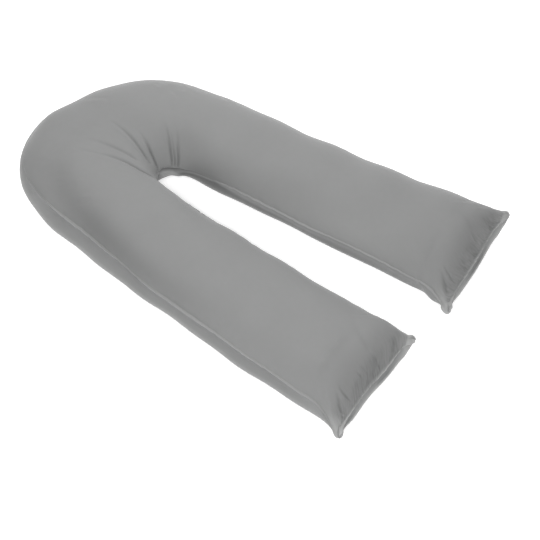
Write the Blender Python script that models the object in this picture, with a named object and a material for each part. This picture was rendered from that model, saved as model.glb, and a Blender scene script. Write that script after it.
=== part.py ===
"""U-shaped body pillow, lying on its back: one filled cloth solid, about 1.4 m long.

A top and a bottom panel of brushed cotton are cut to the same U, sewn together all round their
edge and filled. Laid down, the filling settles: the underside is flat where it rests, the sides
belly out low down, and the seam runs round them with a narrow turned edge that stands proud.
The cover has rolled a little, so the seam sits high on the outer side of the left arm and on
the inner side of the right one, and low on their other sides. Each arm ends in a seam between
two slack corners, and the top panel puckers where it turns round the head of the slot.

Metres, +Z up. The head of the U points to +Y and the arms to -Y. The origin is under the middle
of the pillow's box, on the surface that it rests on.
"""

import math
from collections import namedtuple

import bmesh
import bpy
from mathutils import Vector

# Sections of the filled pillow, from the left arm (-X) round the head to the right arm. Each
# joins a point of the inner side to one of the outer side, at the widest level. crown is the
# height of the top, and the seams' angles are counted up from the widest level.
Section = namedtuple("Section", "inner_x inner_y outer_x outer_y crown inner_seam outer_seam")
SECTIONS = (
    Section(-0.075, -0.480, -0.405, -0.450, 0.155, 4, 25),
    Section(-0.070, -0.340, -0.400, -0.320, 0.157, 4, 27),
    Section(-0.065, -0.190, -0.390, -0.170, 0.158, 4, 29),
    Section(-0.055, 0.000, -0.370, 0.030, 0.161, 3, 28),
    Section(-0.045, 0.140, -0.350, 0.210, 0.166, 3, 33),
    Section(-0.035, 0.230, -0.330, 0.380, 0.171, 4, 35),
    Section(-0.030, 0.255, -0.290, 0.545, 0.174, 6, 32),
    Section(-0.015, 0.265, -0.180, 0.660, 0.172, 6, 22),
    Section(0.000, 0.265, -0.040, 0.685, 0.170, 6, 14),  # middle of the head
    Section(0.015, 0.255, 0.105, 0.630, 0.171, 4, 10),
    Section(0.030, 0.240, 0.230, 0.545, 0.173, 0, 8),
    Section(0.045, 0.215, 0.310, 0.400, 0.172, -1, 8),
    Section(0.055, 0.150, 0.340, 0.230, 0.168, 8, 8),
    Section(0.060, 0.010, 0.355, 0.040, 0.162, 15, 8),
    Section(0.065, -0.190, 0.370, -0.190, 0.158, 13, 8),
    Section(0.075, -0.380, 0.390, -0.380, 0.157, 15, 8),
    Section(0.080, -0.530, 0.410, -0.530, 0.154, 12, 8),
)

# The two corners of each end seam.
Corners = namedtuple("Corners", "inner_x inner_y outer_x outer_y")
LEFT_END = Corners(-0.065, -0.650, -0.425, -0.615)
RIGHT_END = Corners(0.055, -0.690, 0.450, -0.690)

# How a section changes towards an end seam: how far back from the seam its top and its
# underside lie, and how high they are. slack, from 0 to 1, says how empty its corners are:
# slack corners flare out, thin and with the seam at their tips.
EndStep = namedtuple("EndStep", "top_back crown under_back base slack")
END_STEPS = (
    EndStep(0.002, 0.060, 0.002, 0.056, 0.66),
    EndStep(0.007, 0.067, 0.005, 0.050, 0.90),
    EndStep(0.015, 0.082, -0.006, 0.036, 0.97),
    EndStep(0.030, 0.104, -0.009, 0.020, 0.86),
    EndStep(0.054, 0.127, 0.000, 0.005, 0.62),
    EndStep(0.085, 0.143, 0.028, 0.000, 0.26),
    EndStep(0.125, 0.152, 0.065, 0.000, 0.04),
)
END_BOW = 0.017  # how far the middle of an end seam is drawn in between its corners
END_BOW_REACH = 0.090  # how far back from the seam that is still felt
BOW_POWER = 8  # how late the drawn-in seam turns out to its corners

# The main puckers of the top panel round the head of the slot. Each runs along a section: place
# is counted in rows of SECTIONS, start and end are distances across from the inner side.
Pucker = namedtuple("Pucker", "place start end depth")
PUCKERS = (
    Pucker(6.83, 0.00, 0.27, 0.0045),
    Pucker(7.50, 0.06, 0.26, 0.0030),
    Pucker(8.50, 0.02, 0.19, 0.0040),
    Pucker(9.17, 0.00, 0.15, 0.0050),
    Pucker(10.33, 0.00, 0.20, 0.0050),
    Pucker(10.83, 0.00, 0.13, 0.0045),
)
PUCKER_WIDTH = 0.20  # half of a pucker's width, in rows

BELLY_LEVEL = 0.40  # the widest level, as a share of the height from base to crown
CROWN_FULLNESS = 2.15  # exponents of the section's curve above and below the widest level
BELLY_FULLNESS = 2.2
SLACK_FULLNESS = 1.7  # the same exponents where the corners are slack
SLACK_BELLY_FULLNESS = 1.5, 2.4  # on the side towards -X, and towards +X
FLATTENING = 0.35  # how far the filling would sink below the base, were the floor not there
SEAM_PROUD = 0.003  # the turned edge of the seam, and the hollow on each side of it
SEAM_HOLLOW = 0.0015
SEAM_REACH = 0.055  # from the seam to the bottom of its hollow, in radians round the section
SEAM_ROOM = 0.050  # a section thinner than this has less relief at its seams

STEPS_PER_ROW = 6  # rings from one row of SECTIONS to the next, and between two end steps
STEPS_PER_END_ROW = 2
PANEL_POINTS = 12  # points of a section on each panel, between the two seams

CLOTH_COLOUR = (0.285, 0.287, 0.286, 1.0)
CLOTH_ROUGHNESS = 0.92

# A ring is one section made ready to be drawn.
Ring = namedtuple("Ring", "inner outer crown base inner_seam outer_seam lean bow slack place")


def clear_scene():
    """Removes every object, so that the pillow is alone in the scene."""
    for obj in list(bpy.data.objects):
        bpy.data.objects.remove(obj, do_unlink=True)


def blended(before, start, end, after, share):
    """The Catmull-Rom value at share of the way from start to end."""
    slope_in = (end - before) / 2
    slope_out = (after - start) / 2
    rest = end - start
    return (
        start
        + slope_in * share
        + (3 * rest - 2 * slope_in - slope_out) * share**2
        + (slope_in + slope_out - 2 * rest) * share**3
    )


def blended_ring(rings, position):
    """The ring at a position counted along a list of rings, smooth from ring to ring."""
    last = len(rings) - 1
    index = min(int(position), last - 1)
    near = [rings[min(max(index + step, 0), last)] for step in (-1, 0, 1, 2)]
    values = [blended(*column, position - index) for column in zip(*near)]
    made = Ring(*values)
    return made._replace(base=max(made.base, 0.0))


def full_ring(row):
    """The ring of one row of SECTIONS."""
    section = SECTIONS[row]
    return Ring(
        inner=Vector((section.inner_x, section.inner_y)),
        outer=Vector((section.outer_x, section.outer_y)),
        crown=section.crown,
        base=0.0,
        inner_seam=math.radians(section.inner_seam),
        outer_seam=math.radians(section.outer_seam),
        lean=0.0,
        bow=0.0,
        slack=0.0,
        place=float(row),
    )


def end_rings(corners, full, next_full):
    """The rings from an end seam up to the first full one, in line with the next full one."""
    way = (full.inner + full.outer - next_full.inner - next_full.outer).normalized()
    tips = Vector((corners.inner_x, corners.inner_y)), Vector((corners.outer_x, corners.outer_y))
    made = []
    for step in END_STEPS:
        lean = step.top_back - step.under_back
        back = step.under_back + BELLY_LEVEL * lean
        sides = []
        for tip, side in zip(tips, (full.inner, full.outer)):
            reach = (tip - side).dot(way)
            flare = (tip - side) - way * reach
            sides.append(side + way * (reach - back) + flare * step.slack)
        made.append(
            full._replace(
                inner=sides[0],
                outer=sides[1],
                crown=step.crown,
                base=step.base,
                inner_seam=full.inner_seam * (1 - step.slack),
                outer_seam=full.outer_seam * (1 - step.slack),
                lean=lean,
                bow=END_BOW * (1 - min(max(back / END_BOW_REACH, 0.0), 1.0)),
                slack=step.slack,
            )
        )
    return made


def round_power(value, fullness):
    """A sine or cosine bent to a superellipse of that fullness, with its sign kept."""
    return math.copysign(abs(value) ** (2 / fullness), value)


def on_left_arm(ring):
    """Whether a ring lies before the middle of the head, counted from the left end seam."""
    return ring.place < len(SECTIONS) / 2


def belly_height(ring):
    """The height of a ring's widest level."""
    return ring.base + BELLY_LEVEL * (ring.crown - ring.base)


def outline_point(angle, half_width, ring):
    """(across, height) of the section's curve; angle 0 is the widest level on the outer side."""
    belly = belly_height(ring)
    if math.sin(angle) >= 0:
        fullness = CROWN_FULLNESS + (SLACK_FULLNESS - CROWN_FULLNESS) * ring.slack
        depth = ring.crown - belly
    else:
        slack_fullness = SLACK_BELLY_FULLNESS[(math.cos(angle) > 0) != on_left_arm(ring)]
        fullness = BELLY_FULLNESS + (slack_fullness - BELLY_FULLNESS) * ring.slack
        depth = (belly - ring.base) * (1 + FLATTENING)
    across = half_width * round_power(math.cos(angle), fullness)
    height = belly + depth * round_power(math.sin(angle), fullness)
    return Vector((across, max(height, ring.base)))


def panel_angles(ring):
    """The angles of a section's points: outer seam, top panel, inner seam, bottom panel."""
    start, end = ring.outer_seam, math.pi - ring.inner_seam

    def between(first, last):
        near, far = first + SEAM_REACH, last - SEAM_REACH
        step = (far - near) / (PANEL_POINTS - 1)
        return [near + step * i for i in range(PANEL_POINTS)]

    return [start, *between(start, end), end, *between(end, start + 2 * math.pi)]


def seam_offset(index):
    """How far a section's point stands out from the plain curve, for the seam's turned edge."""
    position = index % (PANEL_POINTS + 1)
    if position == 0:
        return SEAM_PROUD
    if position in (1, PANEL_POINTS):
        return -SEAM_HOLLOW
    return 0.0


def pucker_depth(place, across):
    """How deep the puckers are at a place, at a distance across from the inner side."""
    depth = 0.0
    for pucker in PUCKERS:
        off = abs(place - pucker.place) / PUCKER_WIDTH
        share = (across - pucker.start) / (pucker.end - pucker.start)
        if off < 1 and 0 <= share <= 1:
            depth = max(depth, pucker.depth * (1 - off) * (1 - share))
    return depth


def ring_points(ring):
    """The points of one ring in space, in the order of panel_angles."""
    middle = (ring.inner + ring.outer) / 2
    half_width = (ring.outer - ring.inner).length / 2
    across_axis = (ring.outer - ring.inner).normalized()
    # On the left arm this points to the head, and on the right arm to the end.
    along_axis = Vector((across_axis.y, -across_axis.x))
    to_head = 1.0 if on_left_arm(ring) else -1.0
    belly = belly_height(ring)
    relief = min(1.0, (ring.crown - ring.base) / SEAM_ROOM)
    points = []
    for index, angle in enumerate(panel_angles(ring)):
        flat = outline_point(angle, half_width, ring)
        outward = Vector((math.cos(angle), math.sin(angle)))
        flat += outward * seam_offset(index) * relief
        if 0 < index <= PANEL_POINTS:
            flat.y -= pucker_depth(ring.place, half_width + flat.x)
        share = flat.x / half_width
        lean = ring.lean * (flat.y - belly) / (ring.crown - ring.base)
        back = lean + ring.bow * max(0.0, 1 - share**BOW_POWER)
        plan = middle + across_axis * flat.x + along_axis * to_head * back
        points.append(Vector((plan.x, plan.y, max(flat.y, 0.0))))
    return points


def centred(rings):
    """The same rings, moved so that the middle of their box lies over the origin."""
    xs = [point.x for ring in rings for point in ring]
    ys = [point.y for ring in rings for point in ring]
    middle = Vector((min(xs) + max(xs), min(ys) + max(ys), 0.0)) / 2
    return [[point - middle for point in ring] for ring in rings]


def pillow_rings():
    """Every ring of the pillow, from the left end seam round the head to the right one."""
    full = [full_ring(row) for row in range(len(SECTIONS))]
    left = end_rings(LEFT_END, full[0], full[1])
    right = end_rings(RIGHT_END, full[-1], full[-2])[::-1]
    chain = [*left, *full, *right]
    rings = []
    for index in range(len(chain) - 1):
        in_end = index < len(left) or index >= len(left) + len(full) - 1
        steps = STEPS_PER_END_ROW if in_end else STEPS_PER_ROW
        rings += [ring_points(blended_ring(chain, index + i / steps)) for i in range(steps)]
    rings.append(ring_points(chain[-1]))
    return centred(rings)


def skin_rings(mesh, rings):
    """Quads between neighbouring rings, and each end closed from its top panel to its bottom."""
    loops = [[mesh.verts.new(point) for point in ring] for ring in rings]
    count = len(loops[0])
    for near, far in zip(loops, loops[1:]):
        for i in range(count):
            after = (i + 1) % count
            mesh.faces.new((near[i], near[after], far[after], far[i]))
    for loop, turned in ((loops[0], False), (loops[-1], True)):
        for i in range(PANEL_POINTS + 1):
            top = (loop[i], loop[i + 1])
            bottom = (loop[(count - i - 1) % count], loop[(count - i) % count])
            corners = list(dict.fromkeys((*top, *bottom)))
            mesh.faces.new(corners[::-1] if turned else corners)


def cloth_material():
    """The grey cotton of both panels."""
    material = bpy.data.materials.new("grey_cotton")
    material.use_nodes = True
    shader = material.node_tree.nodes["Principled BSDF"]
    shader.inputs["Base Color"].default_value = CLOTH_COLOUR
    shader.inputs["Roughness"].default_value = CLOTH_ROUGHNESS
    shader.inputs["Metallic"].default_value = 0.0
    return material


def make_pillow(collection):
    """The filled pillow as one closed mesh object."""
    mesh = bmesh.new()
    skin_rings(mesh, pillow_rings())
    bmesh.ops.recalc_face_normals(mesh, faces=mesh.faces)
    data = bpy.data.meshes.new("filled_u_pillow")
    mesh.to_mesh(data)
    mesh.free()
    data.shade_smooth()
    data.materials.append(cloth_material())
    pillow = bpy.data.objects.new("filled_u_pillow", data)
    collection.objects.link(pillow)
    return pillow


def main():
    """Builds the pillow in its own collection."""
    clear_scene()
    parts = bpy.data.collections.new("body_pillow")
    bpy.context.scene.collection.children.link(parts)
    make_pillow(parts)


main()
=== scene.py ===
"""Dresses the U-shaped body pillow: its filled cotton cover, its sewn seam, and a plain studio.

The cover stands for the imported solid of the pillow. It is lofted again from the same sections, in
metres, at the scale of a seam, settled by a short cloth simulation, and then gets its seam edge,
its puckers and its creases. The cloth has a chart of its own, in metres: along is counted down
the middle of the pillow from the left arm's end seam, round the head, to the right arm's end
seam, and across is counted over a panel from the inner seam.

The head of the U points to +Y and the arms to -Y. The pillow rests on z = 0.
"""

import logging
import math
from dataclasses import dataclass, replace
from enum import Enum
from typing import Any, NamedTuple

import bmesh
import bpy
import numpy as np
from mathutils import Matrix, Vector


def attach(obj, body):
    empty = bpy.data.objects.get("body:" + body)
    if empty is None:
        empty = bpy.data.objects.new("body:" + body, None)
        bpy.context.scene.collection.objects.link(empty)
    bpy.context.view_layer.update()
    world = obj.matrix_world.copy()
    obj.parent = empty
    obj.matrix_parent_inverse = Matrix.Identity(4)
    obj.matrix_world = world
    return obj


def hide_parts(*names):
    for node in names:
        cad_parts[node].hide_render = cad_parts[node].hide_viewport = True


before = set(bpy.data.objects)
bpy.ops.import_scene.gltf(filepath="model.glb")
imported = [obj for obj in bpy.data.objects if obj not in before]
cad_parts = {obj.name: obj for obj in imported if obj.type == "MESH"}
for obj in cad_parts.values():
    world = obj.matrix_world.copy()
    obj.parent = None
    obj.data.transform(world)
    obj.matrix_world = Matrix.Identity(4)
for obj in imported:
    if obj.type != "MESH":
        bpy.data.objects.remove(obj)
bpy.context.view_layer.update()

PILLOW_NODE = "filled_u_pillow"
ROOT_BODY = "root"
UV_MAP = "flat_panels"
# Painted highlight and painted light on the cover: the share of paler colour at each point.
PAINTED_LIGHT_ATTRIBUTE = "fuzz_and_painted_light"
# Painted shade on the cover: the share of darker colour at each point.
PAINTED_SHADE_ATTRIBUTE = "painted_shade_share"
# The chart of the streaks of painted shade beside the end seams.
STREAK_ATTRIBUTE = "end_streaks"
TIP_REACH = 0.020  # how far from a corner the round tip of an ear reaches
TINY = 1e-12
WHITE = (1.0, 1.0, 1.0, 1.0)

Numbers = float | np.ndarray
Colour = tuple[float, float, float, float]
Stretch = tuple[float, float]

LOG = logging.getLogger("body_pillow")


class Section(NamedTuple):
    """A section of the pillow.

    It has a point of each side at the widest level, the height of the crown, and how many degrees
    each seam lies above the widest level.
    """

    inner_x: float
    inner_y: float
    outer_x: float
    outer_y: float
    crown: float
    inner_seam: float
    outer_seam: float


class Corners(NamedTuple):
    """The two corners of an end seam."""

    inner_x: float
    inner_y: float
    outer_x: float
    outer_y: float


class EndStep(NamedTuple):
    """How far back from an end seam the top and the underside lie, and how high they are there.

    Slack is the share that the section keeps of the flare of the seam's corners.
    """

    top_back: float
    crown: float
    under_back: float
    base: float
    slack: float


class Ring(NamedTuple):
    """One section made ready to be drawn, or, with arrays in its fields, many of them.

    Lean is how far the top lies back from the underside, bow how far the middle of an end stands
    out, slack how slack the section is, and back how far it is from the end seam. To_head is 1 on
    the left arm and -1 on the right one.
    """

    inner_x: Numbers
    inner_y: Numbers
    outer_x: Numbers
    outer_y: Numbers
    crown: Numbers
    base: Numbers
    inner_seam: Numbers
    outer_seam: Numbers
    lean: Numbers
    bow: Numbers
    slack: Numbers
    back: Numbers
    to_head: Numbers

    def sides(self) -> tuple[np.ndarray, np.ndarray]:
        """The inner and the outer side's points in plan."""
        return np.stack([self.inner_x, self.inner_y], -1), np.stack([self.outer_x, self.outer_y], -1)


class Ear(NamedTuple):
    """The round filled tip of a slack corner."""

    x: float
    y: float
    z: float
    radius: float


class Panel(Enum):
    """The two panels of the cover."""

    TOP = 0
    BOTTOM = 1


SECTIONS = (
    # inner x and y, outer x and y, crown, inner and outer seam
    Section(-0.075, -0.480, -0.405, -0.450, 0.155, 4, 25),
    Section(-0.070, -0.340, -0.400, -0.320, 0.157, 4, 27),
    Section(-0.065, -0.190, -0.390, -0.170, 0.158, 4, 29),
    Section(-0.055, 0.000, -0.370, 0.030, 0.161, 3, 28),
    Section(-0.045, 0.140, -0.350, 0.210, 0.166, 3, 33),
    Section(-0.035, 0.230, -0.330, 0.380, 0.171, 4, 35),
    Section(-0.030, 0.255, -0.290, 0.545, 0.174, 6, 32),
    Section(-0.015, 0.265, -0.180, 0.660, 0.172, 6, 22),
    Section(0.000, 0.265, -0.040, 0.685, 0.170, 6, 14),  # middle of the head
    Section(0.015, 0.255, 0.105, 0.630, 0.171, 4, 10),
    Section(0.030, 0.240, 0.230, 0.545, 0.173, 0, 8),
    Section(0.045, 0.215, 0.310, 0.400, 0.172, -1, 8),
    Section(0.055, 0.150, 0.340, 0.230, 0.168, 8, 8),
    Section(0.060, 0.010, 0.355, 0.040, 0.162, 15, 8),
    Section(0.065, -0.190, 0.370, -0.190, 0.158, 13, 8),
    Section(0.075, -0.380, 0.390, -0.380, 0.157, 15, 8),
    Section(0.080, -0.530, 0.410, -0.530, 0.154, 12, 8),
)

END_STEPS = (
    # top back, crown, under back, base, slack
    EndStep(0.0005, 0.0586, 0.0005, 0.0574, 0.66),
    EndStep(0.002, 0.060, 0.002, 0.056, 0.66),
    EndStep(0.007, 0.067, 0.005, 0.050, 0.90),
    EndStep(0.015, 0.082, -0.006, 0.036, 0.97),
    EndStep(0.030, 0.104, -0.009, 0.020, 0.86),
    EndStep(0.054, 0.127, 0.000, 0.005, 0.62),
    EndStep(0.085, 0.143, 0.028, 0.000, 0.26),
    EndStep(0.125, 0.152, 0.065, 0.000, 0.04),
)

EARS = (
    # x, y, z, radius
    Ear(-0.077, -0.638, 0.056, 0.015),
    Ear(-0.412, -0.608, 0.054, 0.016),
    Ear(0.070, -0.677, 0.054, 0.016),
    Ear(0.435, -0.679, 0.056, 0.014),
)


def bell(distance: Numbers, width: Numbers) -> np.ndarray:
    """A soft bell: 1 at no distance, and next to nothing past twice the width."""
    return np.exp(-((distance / width) ** 2))


def ramp(value: Numbers, start: Numbers, end: Numbers) -> np.ndarray:
    """A straight slope from 0 at the start to 1 at the end, and level on either side of it."""
    return np.clip((value - start) / (end - start), 0, 1)


def cubic_weights(share: np.ndarray) -> list[np.ndarray]:
    """Catmull-Rom weights of the four values round a place.

    Args:
        share: How far the place is on the way between the middle two.

    Returns:
        The four weights, in the values' order.
    """
    return [
        (-share + 2 * share**2 - share**3) / 2,
        (2 - 5 * share**2 + 3 * share**3) / 2,
        (share + 4 * share**2 - 3 * share**3) / 2,
        (-(share**2) + share**3) / 2,
    ]


def smooth_rows(table: np.ndarray, places: np.ndarray) -> np.ndarray:
    """Values between the rows of a table, on Catmull-Rom curves.

    Args:
        table: A table whose rows are evenly spaced.
        places: Where to read it, counted in rows.

    Returns:
        One row for each place.
    """
    last = len(table) - 1
    index = np.clip(places.astype(int), 0, last - 1)
    weights = cubic_weights(places - index)
    extra = (1,) * (table.ndim - 1)
    return sum(
        weight.reshape(-1, *extra) * table[np.clip(index + step, 0, last)]
        for step, weight in zip((-1, 0, 1, 2), weights)
    )


def averaged(table: np.ndarray, axis: int, passes: int) -> np.ndarray:
    """A table whose values are averaged with their neighbours along one axis.

    Args:
        table: The values.
        axis: The axis.
        passes: How many times over.

    Returns:
        The smoother table.
    """
    made = np.moveaxis(table, axis, 0)
    for _ in range(passes):
        before = np.concatenate([made[:1], made[:-1]])
        after = np.concatenate([made[1:], made[-1:]])
        made = (before + 2 * made + after) / 4
    return np.moveaxis(made, 0, axis)


@dataclass(frozen=True)
class PillowForm:
    """The filled pillow's plain form, without its seams and creases."""

    sections: tuple[Section, ...] = SECTIONS
    left_end: Corners = Corners(-0.065, -0.650, -0.425, -0.615)
    right_end: Corners = Corners(0.055, -0.690, 0.450, -0.690)
    end_steps: tuple[EndStep, ...] = END_STEPS
    end_bow: float = 0.017
    end_bow_reach: float = 0.090
    bow_power: int = 8
    ear_radius: float = 0.010
    belly_level: float = 0.40
    crown_fullness: float = 2.15
    belly_fullness: float = 2.2
    slack_fullness: float = 1.7
    slack_belly_fullness: Stretch = (1.5, 2.4)
    ears: tuple[Ear, ...] = EARS
    ear_softness: float = 0.004
    ear_facing: Stretch = (0.1, 0.6)
    ear_push_fades: Stretch = (1.2, 2.2)
    ear_pull_fades: Stretch = (2.0, 3.0)
    flattening: float = 0.35
    floor_softness: float = 0.0012
    outline_points: int = 360

    def full_ring(self, row: int) -> Ring:
        """Makes the ring of one section.

        Args:
            row: The section's row in the table.

        Returns:
            The ring, which lies upright and rests on the floor.
        """
        section = self.sections[row]
        return Ring(
            inner_x=section.inner_x,
            inner_y=section.inner_y,
            outer_x=section.outer_x,
            outer_y=section.outer_y,
            crown=section.crown,
            base=0.0,
            inner_seam=math.radians(section.inner_seam),
            outer_seam=math.radians(section.outer_seam),
            lean=0.0,
            bow=0.0,
            slack=0.0,
            back=1.0,
            to_head=1.0 if row < len(self.sections) / 2 else -1.0,
        )

    def end_rings(self, corners: Corners, full: Ring, next_full: Ring) -> list[Ring]:
        """The rings from an end seam up to the first full one.

        Args:
            corners: The corners of the end seam.
            full: The first full ring.
            next_full: The one after it, which gives the arm's direction.

        Returns:
            One ring for each end step, from the seam inwards.
        """
        inner, outer = full.sides()
        way = inner + outer - sum(next_full.sides())
        way = way / np.linalg.norm(way)
        tips = np.array(corners).reshape(2, 2)
        made = []
        for step in self.end_steps:
            lean = step.top_back - step.under_back
            back = step.under_back + self.belly_level * lean
            sides = []
            for tip, side in zip(tips, (inner, outer)):
                reach = (tip - side) @ way
                flare = (tip - side) - way * reach
                sides.append(side + way * (reach - back) + flare * step.slack)
            made.append(
                full._replace(
                    inner_x=sides[0][0],
                    inner_y=sides[0][1],
                    outer_x=sides[1][0],
                    outer_y=sides[1][1],
                    crown=step.crown,
                    base=step.base,
                    inner_seam=full.inner_seam * (1 - step.slack),
                    outer_seam=full.outer_seam * (1 - step.slack),
                    lean=lean,
                    bow=self.end_bow * (1 - min(max(back / self.end_bow_reach, 0.0), 1.0)),
                    slack=step.slack,
                    back=back - self.end_steps[0].top_back,
                )
            )
        return made

    def chain(self) -> np.ndarray:
        """Puts the driving rings in order.

        Returns:
            The rings as rows of numbers, from the left end seam to the right one.
        """
        full = [self.full_ring(row) for row in range(len(self.sections))]
        left = self.end_rings(self.left_end, full[0], full[1])
        right = self.end_rings(self.right_end, full[-1], full[-2])[::-1]
        return np.array([*left, *full, *right], float)

    def stations(self, spacing: tuple[tuple[float, float], ...]) -> np.ndarray:
        """Places for rings along the chain.

        Args:
            spacing: Rows of the sections, each with the distance between rings there. It changes
                evenly from one to the next.

        Returns:
            Positions counted in driving rings.
        """
        middle = sum(Ring(*self.chain().T).sides()) / 2
        lengths = np.linalg.norm(np.diff(middle, axis=0), axis=1)
        rows, steps = np.array(spacing).T
        places = [np.zeros(1)]
        for index, length in enumerate(lengths):
            step = np.interp(index + 0.5 - len(self.end_steps), rows, steps)
            count = max(1, round(length / step))
            places.append(index + np.arange(1, count + 1) / count)
        return np.concatenate(places)

    def rings_at(self, places: np.ndarray) -> Ring:
        """The rings at places along the chain, each value on a Catmull-Rom curve.

        Args:
            places: Positions counted in driving rings.

        Returns:
            A ring whose fields are arrays.
        """
        made = Ring(*smooth_rows(self.chain(), places).T)
        return made._replace(base=np.maximum(made.base, 0.0))

    def outline(self, rings: Ring, panel: Panel) -> np.ndarray:
        """A dense outline of one panel on each ring, from the outer seam to the inner one.

        Args:
            rings: The rings to draw.
            panel: The panel to draw.

        Returns:
            Points in space, as rings by points by three.
        """
        ring = Ring(*(value[:, None] for value in rings))
        angle = self.angles(ring, panel)
        power = 2 / self.fullness(ring, angle)
        thickness = ring.crown - ring.base
        belly = ring.base + self.belly_level * thickness
        flattened = (belly - ring.base) * (1 + self.flattening)
        depth = np.where(np.sin(angle) >= 0, ring.crown - belly, flattened)
        inner, outer = rings.sides()
        width = np.linalg.norm(outer - inner, axis=1)[:, None]
        across_axis = (outer - inner) / width
        along_axis = np.stack([across_axis[:, 1], -across_axis[:, 0]], -1)
        half_width = width / 2 - self.ear_inset(ring.back)
        sideways = half_width * np.copysign(np.abs(np.cos(angle)) ** power, np.cos(angle))
        height = belly + depth * np.copysign(np.abs(np.sin(angle)) ** power, np.sin(angle))
        lift = height - ring.base
        height = ring.base + (lift + np.hypot(lift, self.floor_softness)) / 2
        back = ring.lean * (height - belly) / thickness
        back += ring.bow * np.clip(1 - (sideways / half_width) ** self.bow_power, 0, 1)
        back *= ring.to_head
        plan = (
            ((inner + outer) / 2)[:, None, :]
            + across_axis[:, None, :] * sideways[..., None]
            + along_axis[:, None, :] * back[..., None]
        )
        return np.concatenate([plan, height[..., None]], -1)

    def angles(self, rings: Ring, panel: Panel) -> np.ndarray:
        """Spreads the angles of one panel's points round each section.

        Args:
            rings: The rings, with a column for each value.
            panel: The panel.

        Returns:
            The angles in radians, from the outer seam to the inner one.
        """
        share = np.linspace(0.0, 1.0, self.outline_points)
        start, end = rings.outer_seam, math.pi - rings.inner_seam
        if panel is Panel.BOTTOM:
            end = end - 2 * math.pi
        return start + (end - start) * share

    def fullness(self, rings: Ring, angle: np.ndarray) -> np.ndarray:
        """How full each section is at each angle: 2 makes an ellipse, and more a squarer side.

        Args:
            rings: The rings, with a column for each value.
            angle: The angles round each of them.

        Returns:
            The fullness at each angle.
        """
        top = self.crown_fullness + (self.slack_fullness - self.crown_fullness) * rings.slack
        to_right = (np.cos(angle) > 0) == (rings.to_head < 0)
        left_fullness, right_fullness = self.slack_belly_fullness
        slack_under = np.where(to_right, right_fullness, left_fullness)
        under = self.belly_fullness + (slack_under - self.belly_fullness) * rings.slack
        return np.where(np.sin(angle) >= 0, top, under)

    def with_ears(self, points: np.ndarray) -> np.ndarray:
        """Fills out and rounds off the slack corners.

        Args:
            points: Points of the plain form.

        Returns:
            The same points, those of each corner on the surface of its ear.
        """
        ends = (self.left_end, self.right_end)
        tips = [(end.inner_x, end.inner_y, end.outer_x, end.outer_y) for end in ends]
        for ear, tip in zip(self.ears, np.array(tips).reshape(-1, 2)):
            centre = np.array([ear.x, ear.y, ear.z])
            out = np.append(tip - centre[:2], 0.0)
            off = points - centre
            distance = np.maximum(np.linalg.norm(off, axis=-1, keepdims=True), TINY)
            facing = (off @ out)[..., None] / distance / np.linalg.norm(out)
            short = ear.radius - distance
            push = (short + np.hypot(short, self.ear_softness)) / 2
            push *= 1 - ramp(distance / ear.radius, *self.ear_push_fades)
            pull = np.minimum(short, 0) * ramp(facing, *self.ear_facing)
            pull *= 1 - ramp(distance / ear.radius, *self.ear_pull_fades)
            points = points + off / distance * (push + pull)
        return points

    def ear_inset(self, back: np.ndarray) -> np.ndarray:
        """How far a ring's sides are drawn in, so that the end corners are round in plan."""
        short = np.clip(self.ear_radius - back, 0.0, self.ear_radius)
        return self.ear_radius - np.sqrt(self.ear_radius**2 - short**2)


@dataclass(frozen=True)
class GridLayout:
    """How the points of a grid are spread over the pillow's form."""

    ring_spacing: tuple[tuple[float, float], ...]
    seam_offsets: tuple[float, ...]
    middle_points: tuple[int, int]

    def offsets(self, panel: Panel, length: float) -> np.ndarray:
        """Spreads the points across one panel, close together near both seams.

        Args:
            panel: The panel.
            length: How wide it is, from seam to seam.

        Returns:
            The points' distances from the outer seam.
        """
        near = np.array(self.seam_offsets)
        count = self.middle_points[panel.value]
        middle = np.linspace(near[-1], length - near[-1], count + 2)[1:-1]
        return np.concatenate([near, middle, length - near[::-1]])


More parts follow.
